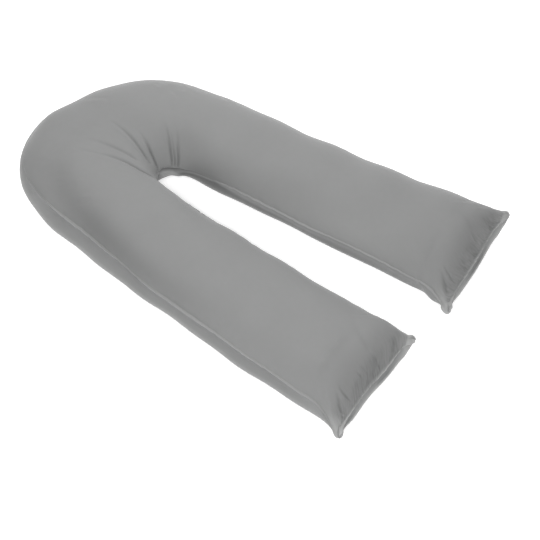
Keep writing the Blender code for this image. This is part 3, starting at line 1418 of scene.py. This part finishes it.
class Graph:
    """A node tree, with one way to add a node to it."""

    def __init__(self, tree: bpy.types.NodeTree) -> None:
        """Takes the tree that the nodes go into."""
        self.tree = tree

    def node(
        self,
        kind: str,
        settings: dict[str, Any],
        inputs: dict[str | int, Any],
        output: str | int | None = 0,
    ) -> Term | None:
        """Adds a node.

        Args:
            kind: The node's type.
            settings: Its own settings, which are set first.
            inputs: The value, or the term to link, of each of its sockets.
            output: The socket that is wanted of it, or None where it has none.

        Returns:
            That socket, wrapped, or None.
        """
        made = self.tree.nodes.new(kind)
        for name, value in settings.items():
            setattr(made, name, value)
        for socket, value in inputs.items():
            self.put(made.inputs[socket], value)
        return None if output is None else Term(self, made.outputs[output])

    def split(self, vector: Term) -> tuple[Term, Term, Term]:
        """The three parts of a vector."""
        parts = self.node("ShaderNodeSeparateXYZ", {}, {0: vector}).socket.node.outputs
        return Term(self, parts[0]), Term(self, parts[1]), Term(self, parts[2])

    def put(self, socket: bpy.types.NodeSocket, value: Any) -> None:
        """Fills a socket.

        Args:
            socket: The socket.
            value: The term to link to it, or the value to set.
        """
        if isinstance(value, Term):
            self.tree.links.new(value.socket, socket)
        else:
            socket.default_value = value


class MaterialGraph(Graph):
    """A material's tree, which has its Principled shader from the start."""

    def __init__(self, name: str) -> None:
        """Starts the material.

        Args:
            name: The material's name.
        """
        self.material = bpy.data.materials.new(name)
        self.material.use_nodes = True
        super().__init__(self.material.node_tree)
        self.shader = self.tree.nodes["Principled BSDF"]

    def mixed(self, share: Term, first: Term | Colour, second: Term | Colour) -> Term:
        """Mixes two colours. A Mix node keeps its colours in its later sockets.

        Args:
            share: The second colour's share, from 0 to 1.
            first: The first colour.
            second: The second colour.

        Returns:
            The mixed colour.
        """
        return self.node(
            "ShaderNodeMix", {"data_type": "RGBA"}, {"Factor": share, 6: first, 7: second}, output=2
        )

    def attribute(self, name: str, output: str = "Fac") -> Term:
        """An attribute of the mesh."""
        return self.node("ShaderNodeAttribute", {"attribute_name": name}, {}, output)

    def bumped(self, height: Term, strength: float) -> Term:
        """The normal of a surface with a fine relief, whose height is in metres."""
        values = {"Height": height, "Distance": 1.0, "Strength": strength}
        return self.node("ShaderNodeBump", {}, values)

    def finish(self, values: dict[str, Any]) -> bpy.types.Material:
        """Fills the shader's own sockets.

        Args:
            values: The value, or the term to link, of each socket.

        Returns:
            The finished material.
        """
        for name, value in values.items():
            self.put(self.shader.inputs[name], value)
        return self.material


class Grain(NamedTuple):
    """A soft noise: how large its grains are, and how much finer detail they have."""

    size: float
    detail: float


@dataclass(frozen=True)
class GreyCotton:
    """The cover's finish: a plain grey cotton, closely woven and lightly fuzzy, with painted light and
    painted shade in its colour.
    """

    pale: Colour = (0.236, 0.238, 0.237, 1.0)
    deep: Colour = (0.212, 0.214, 0.213, 1.0)
    # The paler colour of painted highlight and painted light.
    painted_light: Colour = (0.400, 0.402, 0.399, 1.0)
    # The darker colour of painted shade.
    painted_shade: Colour = (0.120, 0.122, 0.121, 1.0)
    clouds: Grain = Grain(0.060, 3.0)
    blotches: Grain = Grain(0.016, 2.0)
    flecks: Grain = Grain(0.0012, 1.0)
    fuzz_and_painted_light: Grain = Grain(0.0006, 2.0)
    cloud_share: float = 0.40
    blotch_share: float = 0.35
    fleck_share: float = 0.25
    yarn_pitch: float = 0.0011
    yarn_height: float = 0.00010
    fuzz_height: float = 0.00012
    relief_strength: float = 0.6
    roughness: Stretch = (0.86, 0.97)
    specular: float = 0.25
    sheen: float = 0.30
    sheen_roughness: float = 0.4
    streak: Grain = Grain(1.0, 2.0)
    streak_width: float = 0.0055
    streak_length: float = 0.036
    streak_level: float = 0.45
    streak_depth: float = 2.0

    def material(self, name: str) -> bpy.types.Material:
        """Makes the finish.

        Args:
            name: The material's name.

        Returns:
            The material, whose weave follows the UV map of the flat panels, in metres.
        """
        graph = MaterialGraph(name)
        place = graph.node("ShaderNodeTexCoord", {}, {}, "Object")
        flecks = self.noise(graph, place, self.flecks)
        tone = self.noise(graph, place, self.clouds) * self.cloud_share + flecks * self.fleck_share
        tone = tone + self.noise(graph, place, self.blotches) * self.blotch_share
        colour = graph.mixed(tone, self.deep, self.pale)
        # Painted highlight and painted light, mixed in by the painted-light attribute.
        colour = graph.mixed(graph.attribute(PAINTED_LIGHT_ATTRIBUTE), colour, self.painted_light)
        # Painted shade, mixed in by the painted-shade attribute and the painted streaks near the end seams.
        painted_shade = graph.attribute(PAINTED_SHADE_ATTRIBUTE) + self.streaks(graph) * self.streak_depth
        colour = graph.mixed(painted_shade, colour, self.painted_shade)
        fuzz_and_painted_light = self.noise(graph, place, self.fuzz_and_painted_light) * self.fuzz_height
        height = self.weave(graph) * self.yarn_height + fuzz_and_painted_light
        smoothest, roughest = self.roughness
        return graph.finish({
            "Base Color": colour,
            "Roughness": flecks * (roughest - smoothest) + smoothest,
            "Normal": graph.bumped(height, self.relief_strength),
            "Sheen Weight": self.sheen,
            "Sheen Roughness": self.sheen_roughness,
            "Specular IOR Level": self.specular,
        })

    def streaks(self, graph: MaterialGraph) -> Term:
        """Paints streaks of shade that run up from an end seam.

        Args:
            graph: The material's tree.

        Returns:
            About 0 where the painted shade is even, above it where darker, below where paler.
        """
        across, distance, strength = graph.split(graph.attribute(STREAK_ATTRIBUTE, "Vector"))
        place = graph.node(
            "ShaderNodeCombineXYZ",
            {},
            {0: across * (1 / self.streak_width), 1: distance * (1 / self.streak_length)},
        )
        return (self.noise(graph, place, self.streak) - self.streak_level) * strength

    def noise(self, graph: Graph, place: Term, grain: Grain) -> Term:
        """Makes a soft noise.

        Args:
            graph: The material's tree.
            place: The place to read it at.
            grain: Its grain.

        Returns:
            The noise, about 0.5 on average.
        """
        return graph.node(
            "ShaderNodeTexNoise",
            {},
            {"Vector": place, "Scale": 1 / grain.size, "Detail": grain.detail, "Roughness": 0.5},
        )

    def weave(self, graph: Graph) -> Term:
        """Makes a plain weave, whose yarns pass over and under by turns.

        Args:
            graph: The material's tree.

        Returns:
            Its height, from -1 to 1.
        """
        turn = math.pi / self.yarn_pitch
        warp, weft, _ = graph.split(graph.node("ShaderNodeUVMap", {"uv_map": UV_MAP}, {}))
        return (warp * turn).sine() * (weft * turn).sine()


@dataclass(frozen=True)
class SewingThread:
    """The finish of the seam's thread, a little paler than the cloth and a little smoother."""

    colour: Colour = (0.330, 0.332, 0.330, 1.0)
    twist_pitch: float = 0.0009
    twist_height: float = 0.00008
    relief_strength: float = 0.5
    roughness: float = 0.62
    specular: float = 0.3

    def material(self, name: str) -> bpy.types.Material:
        """Makes the finish.

        Args:
            name: The material's name.

        Returns:
            The material, with the thread's twist as fine bands round it.
        """
        graph = MaterialGraph(name)
        east, north, up = graph.split(graph.node("ShaderNodeTexCoord", {}, {}, "Object"))
        bands = ((east + north + up) * (2 * math.pi / self.twist_pitch)).sine()
        return graph.finish({
            "Base Color": self.colour,
            "Roughness": self.roughness,
            "Normal": graph.bumped(bands * self.twist_height, self.relief_strength),
            "Specular IOR Level": self.specular,
        })


@dataclass
class Cover:
    """The filled cover: two panels cut to the same U and sewn together round their edge."""

    form: PillowForm = PillowForm()
    layout: GridLayout = GridLayout(
        ring_spacing=((-1.0, 0.0034), (0.5, 0.0064), (4.0, 0.0064), (5.0, 0.0026), (11.5, 0.0026),
                      (12.0, 0.0064), (15.5, 0.0064), (17.0, 0.0034)),
        seam_offsets=(0.0, 0.0009, 0.0018, 0.0028, 0.004, 0.0055, 0.0075, 0.010, 0.0135),
        middle_points=(124, 36),
    )
    settling: ClothSettling = ClothSettling()
    unevenness: Unevenness = Unevenness()
    seam: SeamEdge = SeamEdge()
    course: SeamCourse = SeamCourse()
    outer_puckers: SeamPuckers = SIDE_PUCKERS
    inner_puckers: SeamPuckers = replace(SIDE_PUCKERS, seed=12)
    end_puckers: SeamPuckers = END_PUCKERS
    end_pucker_stretch: float = 0.14
    crease_shape: CreaseShape = CreaseShape()
    creases: tuple[Crease, ...] = (*CREASES, NOTCH_FOLD)
    dents: tuple[Dent, ...] = DENTS
    # Painted light and painted shade in the cover's colour.
    painted_light_and_shade: PaintedLightAndShade = PaintedLightAndShade()
    cotton: GreyCotton = GreyCotton()
    move: tuple[float, float, float] = (-0.0123, 0.0017, 0.0)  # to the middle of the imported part
    panel_gap: tuple[float, float] = (1.0, 0.0)
    stitch_inset: float = 0.0028
    tip_passes: int = 6
    name: str = "pillow_cover"

    def build(self) -> tuple[bpy.types.Object, np.ndarray]:
        """Makes the cover.

        Returns:
            The cover, at the origin with its place in its mesh, and the line of its stitches.
        """
        grid = make_grid(self.form, self.layout)
        self.round_tips(grid)
        normals = grid.normals()
        # The creases' relief, and the painted shade in their troughs.
        creased, painted_shade = self.creased(grid, normals)
        relief = self.relief(grid) + creased
        grid.points += normals * (relief * (1 - grid.tips()))[..., None]
        grid.points[..., 2] = np.maximum(grid.points[..., 2], 0.0)
        grid.points += np.array(self.move)
        stitch_line = grid.line_inside_seam(self.stitch_inset, self.course.in_fold)
        return self.mesh_object(grid, painted_shade), stitch_line

    def round_tips(self, grid: ClothGrid) -> None:
        """Averages away the kinks of the ears' tips.

        Args:
            grid: The grid, whose points it moves.
        """
        tips = grid.tips()[..., None]
        for _ in range(self.tip_passes):
            beside = (np.roll(grid.points, 1, 1) + np.roll(grid.points, -1, 1)) / 2
            mean = (beside + averaged(grid.points, 0, 1)) / 2
            grid.points += tips * (mean - grid.points)

    def relief(self, grid: ClothGrid) -> np.ndarray:
        """Adds up all that stands out of the plain form but its creases.

        Args:
            grid: The grid.

        Returns:
            How far the cloth stands out at each point of the grid.
        """
        made = self.unevenness.relief(joined(grid.flat))
        made += self.settling.relief(self.form, grid) * self.course.slack(grid)
        outer_run = grid.run_from_end()[:, :1]
        inner_run = grid.run_from_end()[:, grid.inner_seam_column, None]
        lit_and_puckered = self.course.lit_and_puckered(grid)
        made += self.outer_puckers.relief(outer_run, grid.from_outer) * lit_and_puckered
        made += self.inner_puckers.relief(inner_run, grid.across) * lit_and_puckered
        for backwards in (False, True):
            distance = grid.run_from_end(backwards)
            tip = grid.across[-1:] if backwards else grid.across[:1]
            near = distance.min(axis=1) < self.end_pucker_stretch
            made[near] += self.end_puckers.relief(tip, distance[near])
        made += sum(dent.relief(grid) for dent in self.dents)
        return made + self.seam.relief(grid.seam_distance(), grid.on_top) * self.course.standing(grid)

    def creased(self, grid: ClothGrid, normals: np.ndarray) -> tuple[np.ndarray, np.ndarray]:
        """Works out all the creases.

        Args:
            grid: The grid.
            normals: Its normals.

        Returns:
            How far the cloth stands out, and how much painted shade the creases give, at each point of the
            grid.
        """
        marks = [self.crease_shape.relief(grid, normals, crease) for crease in self.creases]
        reliefs, crease_shades = zip(*marks)
        return np.sum(reliefs, 0), np.max(crease_shades, 0)

    def mesh_object(self, grid: ClothGrid, painted_shade: np.ndarray) -> bpy.types.Object:
        """Makes the closed mesh.

        Args:
            grid: The finished grid.
            painted_shade: How much painted shade the creases give, at each of its points.

        Returns:
            The cover, with the flat panels as its UV map and its painted light and painted shade as
            attributes.
        """
        mesh = bpy.data.meshes.new(self.name)
        mesh.from_pydata(grid.points.reshape(-1, 3).tolist(), [], grid.faces())
        mesh.shade_smooth()
        mesh.materials.append(self.cotton.material("grey_cotton"))
        self.lay_flat(mesh, grid)
        # Painted highlight and painted light, painted shade, and the chart of the painted streaks, as
        # attributes.
        fuzz_and_painted_light = mesh.attributes.new(PAINTED_LIGHT_ATTRIBUTE, "FLOAT", "POINT")
        fuzz_and_painted_light.data.foreach_set("value", self.painted_light_and_shade.painted_light(grid).ravel())
        painted_light_and_shade = mesh.attributes.new(PAINTED_SHADE_ATTRIBUTE, "FLOAT", "POINT")
        painted_light_and_shade.data.foreach_set("value", self.painted_light_and_shade.painted_shade(grid, painted_shade).ravel())
        streaks = mesh.attributes.new(STREAK_ATTRIBUTE, "FLOAT_VECTOR", "POINT")
        streaks.data.foreach_set("vector", self.painted_light_and_shade.streaks(grid).ravel())
        cover = bpy.data.objects.new(self.name, mesh)
        bpy.context.scene.collection.objects.link(cover)
        return cover

    def lay_flat(self, mesh: bpy.types.Mesh, grid: ClothGrid) -> None:
        """Gives the mesh its UV map: the two panels side by side, as cut, in metres.

        Args:
            mesh: The cover's mesh, with its quads first and its end lips last.
            grid: The grid that it was made from.
        """
        rings, columns = grid.points.shape[:2]
        seam = grid.inner_seam_column
        panels = {Panel.TOP: grid.flat[Panel.TOP], Panel.BOTTOM: grid.flat[Panel.BOTTOM] + self.panel_gap}
        ring = np.arange(rings - 1)[:, None, None] + np.array([0, 0, 1, 1])
        column = np.arange(columns)[:, None] + np.array([0, 1, 1, 0])
        upper = panels[Panel.TOP][ring, np.minimum(column, seam)]
        bottom = panels[Panel.BOTTOM]
        lower = bottom[ring, np.clip(columns - column, 0, bottom.shape[1] - 1)]
        on_top = (np.arange(columns) < seam)[:, None, None]
        sides = np.where(on_top, upper, lower).reshape(-1, 2)
        lips = [loop.vertex_index for loop in mesh.loops[len(sides):]]
        flat = np.concatenate([sides, joined(panels).reshape(-1, 2)[lips]])
        mesh.uv_layers.new(name=UV_MAP).data.foreach_set("uv", flat.ravel())


class StitchInput(Enum):
    """The named sizes that the stitch tree takes."""

    PITCH = "Pitch"
    LENGTH = "Stitch Length"
    THICKNESS = "Thread Thickness"
    SWING = "Swing"


@dataclass
class SeamStitches:
    """The row of small lock stitches that closes the cover, beside the seam's edge on top."""

    pitch: float = 0.0034
    length: float = 0.0026
    thickness: float = 0.0009
    swing: float = 0.14
    seed: int = 5
    sides: int = 6
    turns: int = 4
    bead_radius: float = 0.5
    thread: SewingThread = SewingThread()
    name: str = "seam_stitches"

    def build(self, path: np.ndarray) -> bpy.types.Object:
        """Sews the row.

        Args:
            path: The points of the line that it follows.

        Returns:
            The stitches as one plain mesh.
        """
        line = bpy.data.meshes.new("seam_line")
        line.from_pydata(path.tolist(), [(i, i + 1) for i in range(len(path) - 1)], [])
        guide = bpy.data.objects.new("seam_line", line)
        bpy.context.scene.collection.objects.link(guide)
        modifier = guide.modifiers.new("sew", "NODES")
        modifier.node_group = self.tree()
        sizes = {
            StitchInput.PITCH.value: self.pitch,
            StitchInput.LENGTH.value: self.length,
            StitchInput.THICKNESS.value: self.thickness,
            StitchInput.SWING.value: self.swing,
        }
        for item in modifier.node_group.interface.items_tree:
            if item.name in sizes:
                modifier[item.identifier] = sizes[item.name]
        graph = bpy.context.evaluated_depsgraph_get()
        mesh = bpy.data.meshes.new_from_object(guide.evaluated_get(graph))
        mesh.name = self.name
        guide.modifiers.remove(modifier)
        bpy.data.objects.remove(guide)
        stitches = bpy.data.objects.new(self.name, mesh)
        bpy.context.scene.collection.objects.link(stitches)
        return stitches

    def tree(self) -> bpy.types.NodeTree:
        """Makes the tree that lays one stitch at each step along a line.

        Returns:
            The tree, whose inputs are the line and the stitches' sizes.
        """
        tree = bpy.data.node_groups.new("seam_stitch_row", "GeometryNodeTree")
        tree.interface.new_socket("Geometry", in_out="INPUT", socket_type="NodeSocketGeometry")
        for size in StitchInput:
            tree.interface.new_socket(size.value, in_out="INPUT", socket_type="NodeSocketFloat")
        tree.interface.new_socket("Geometry", in_out="OUTPUT", socket_type="NodeSocketGeometry")
        graph = Graph(tree)
        entry = graph.node("NodeGroupInput", {}, {}, "Geometry")
        pitch, length, thickness, swing = (
            Term(graph, entry.socket.node.outputs[size.value]) for size in StitchInput
        )
        curve = graph.node("GeometryNodeMeshToCurve", {}, {"Mesh": entry})
        steps = graph.node(
            "GeometryNodeResampleCurve", {"mode": "LENGTH"}, {"Curve": curve, "Length": pitch}
        )
        bead = graph.node(
            "GeometryNodeMeshUVSphere",
            {},
            {"Segments": self.sides, "Rings": self.turns, "Radius": self.bead_radius},
        )
        tangent = graph.node("GeometryNodeInputTangent", {}, {})
        wander = graph.node(
            "FunctionNodeRandomValue",
            {"data_type": "FLOAT_VECTOR"},
            {0: (-1.0, -1.0, -1.0), 1: (1.0, 1.0, 1.0), "Seed": self.seed},
        )
        swung = graph.node("ShaderNodeVectorMath", {"operation": "SCALE"}, {0: wander, "Scale": swing})
        way = graph.node("ShaderNodeVectorMath", {"operation": "ADD"}, {0: tangent, 1: swung})
        turn = graph.node("FunctionNodeAlignRotationToVector", {"axis": "Z"}, {"Vector": way})
        size = graph.node("ShaderNodeCombineXYZ", {}, {0: thickness, 1: thickness, 2: length})
        placed = graph.node(
            "GeometryNodeInstanceOnPoints",
            {},
            {"Points": steps, "Instance": bead, "Rotation": turn, "Scale": size},
        )
        real = graph.node("GeometryNodeRealizeInstances", {}, {0: placed})
        smooth = graph.node("GeometryNodeSetShadeSmooth", {}, {0: real})
        dressed = graph.node(
            "GeometryNodeSetMaterial",
            {},
            {"Geometry": smooth, "Material": self.thread.material("grey_thread")},
        )
        graph.node("NodeGroupOutput", {"is_active_output": True}, {"Geometry": dressed}, None)
        return tree


@dataclass(frozen=True)
class Viewpoint:
    """Where the camera stands, counted as azimuth and elevation round a point of the pillow."""

    azimuth: float = math.radians(-57.5)
    elevation: float = math.radians(60.0)
    distance: float = 2.88
    target: tuple[float, float, float] = (-0.1103, -0.1883, 0.06)
    lens: float = 66.7
    sensor: float = 36.0

    def build(self) -> bpy.types.Object:
        """Makes the camera, and looks through it.

        Returns:
            The camera.
        """
        data = bpy.data.cameras.new("camera")
        data.lens, data.sensor_width = self.lens, self.sensor
        camera = bpy.data.objects.new("camera", data)
        flat = math.cos(self.elevation)
        back = Vector((
            math.sin(self.azimuth) * flat,
            -math.cos(self.azimuth) * flat,
            math.sin(self.elevation),
        ))
        camera.location = Vector(self.target) + back * self.distance
        camera.rotation_euler = (-back).to_track_quat("-Z", "Y").to_euler()
        bpy.context.scene.collection.objects.link(camera)
        bpy.context.scene.camera = camera
        return camera


@dataclass(frozen=True)
class Softbox:
    """A square light that hangs over the table and faces a point on it."""

    name: str
    place: tuple[float, float, float]
    aim: tuple[float, float, float]
    side: float
    watts: float

    def build(self) -> bpy.types.Object:
        """Hangs the light.

        Returns:
            The light.
        """
        data = bpy.data.lights.new(self.name, "AREA")
        data.shape, data.size, data.energy = "SQUARE", self.side, self.watts
        light = bpy.data.objects.new(self.name, data)
        light.location = self.place
        way = Vector(self.aim) - Vector(self.place)
        light.rotation_euler = way.to_track_quat("-Z", "Y").to_euler()
        bpy.context.scene.collection.objects.link(light)
        return light


@dataclass
class Studio:
    """A wide white table that glows a little, soft light from overhead, and the camera."""

    table_side: float = 40.0
    table_drop: float = 0.0004
    table_colour: Colour = (0.80, 0.80, 0.80, 1.0)
    table_roughness: float = 0.8
    table_specular: float = 0.1
    table_glow: float = 0.50
    air_light: float = 0.16
    softboxes: tuple[Softbox, ...] = (
        Softbox("softbox_behind", (2.30, 0.90, 1.65), (0.0, 0.1, 0.05), 1.8, 70.0),
        Softbox("softbox_front", (-1.60, -0.90, 2.90), (0.0, 0.0, 0.05), 1.8, 100.0),
        Softbox("softbox_left", (-1.50, 1.90, 2.00), (0.0, 0.0, 0.05), 1.6, 15.0),
    )
    viewpoint: Viewpoint = Viewpoint()

    def build(self) -> None:
        """Makes the table, the lights and the camera."""
        self.table()
        world = bpy.data.worlds.new("studio_air")
        world.use_nodes = True
        air = world.node_tree.nodes["Background"]
        air.inputs["Color"].default_value = WHITE
        air.inputs["Strength"].default_value = self.air_light
        bpy.context.scene.world = world
        for softbox in self.softboxes:
            softbox.build()
        self.viewpoint.build()
        bpy.context.scene.view_settings.view_transform = "Standard"

    def table(self) -> bpy.types.Object:
        """Makes the table top, a little under the pillow.

        Returns:
            The table top.
        """
        mesh = bmesh.new()
        bmesh.ops.create_grid(mesh, x_segments=1, y_segments=1, size=self.table_side / 2)
        data = bpy.data.meshes.new("table_top")
        mesh.to_mesh(data)
        mesh.free()
        graph = MaterialGraph("white_table")
        data.materials.append(
            graph.finish({
                "Base Color": self.table_colour,
                "Roughness": self.table_roughness,
                "Specular IOR Level": self.table_specular,
                "Emission Color": WHITE,
                "Emission Strength": self.table_glow,
            })
        )
        top = bpy.data.objects.new("table_top", data)
        top.location.z = -self.table_drop
        bpy.context.scene.collection.objects.link(top)
        return top


def main() -> None:
    """Builds the pillow piece by piece, then the studio."""
    logging.basicConfig(level=logging.INFO, format="%(message)s")
    cover, stitch_line = Cover().build()
    stitches = SeamStitches().build(stitch_line)
    for piece in (cover, stitches):
        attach(piece, ROOT_BODY)
        LOG.info("%s: %d faces", piece.name, len(piece.data.polygons))
    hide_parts(PILLOW_NODE)
    Studio().build()


if __name__ == "__main__":
    main()
